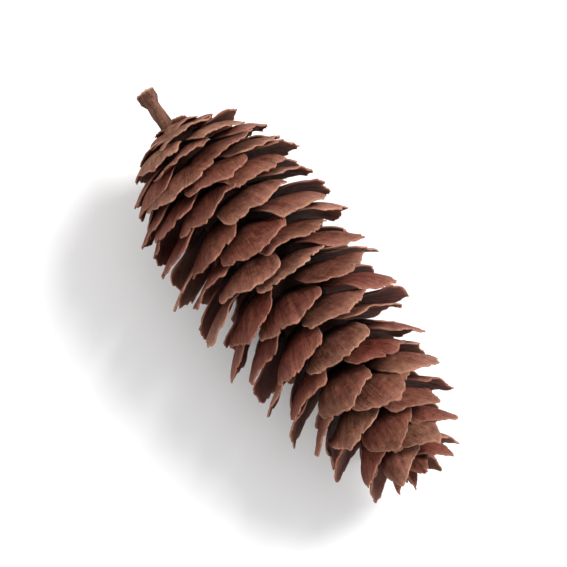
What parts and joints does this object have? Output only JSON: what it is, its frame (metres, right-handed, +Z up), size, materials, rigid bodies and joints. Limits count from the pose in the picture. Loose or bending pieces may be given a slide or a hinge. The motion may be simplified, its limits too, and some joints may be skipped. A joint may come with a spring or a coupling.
{
  "type": "pine cone",
  "caption": "Long open conifer cone lying on its side, with thin overlapping rhombic scales on a woody axis and a short stalk at one end.",
  "frame": {"origin": "middle of the bounding box at the bottom, on the surface that the cone rests on", "axes": "+X along the cone from its stalk to its tip, +Z up"},
  "size_m": [0.0979, 0.0394, 0.0384],
  "materials": {
    "scales": "matt, reddish brown"
  },
  "bodies": {
    "root": {"cone": "scales"}
  },
  "joints": []
}
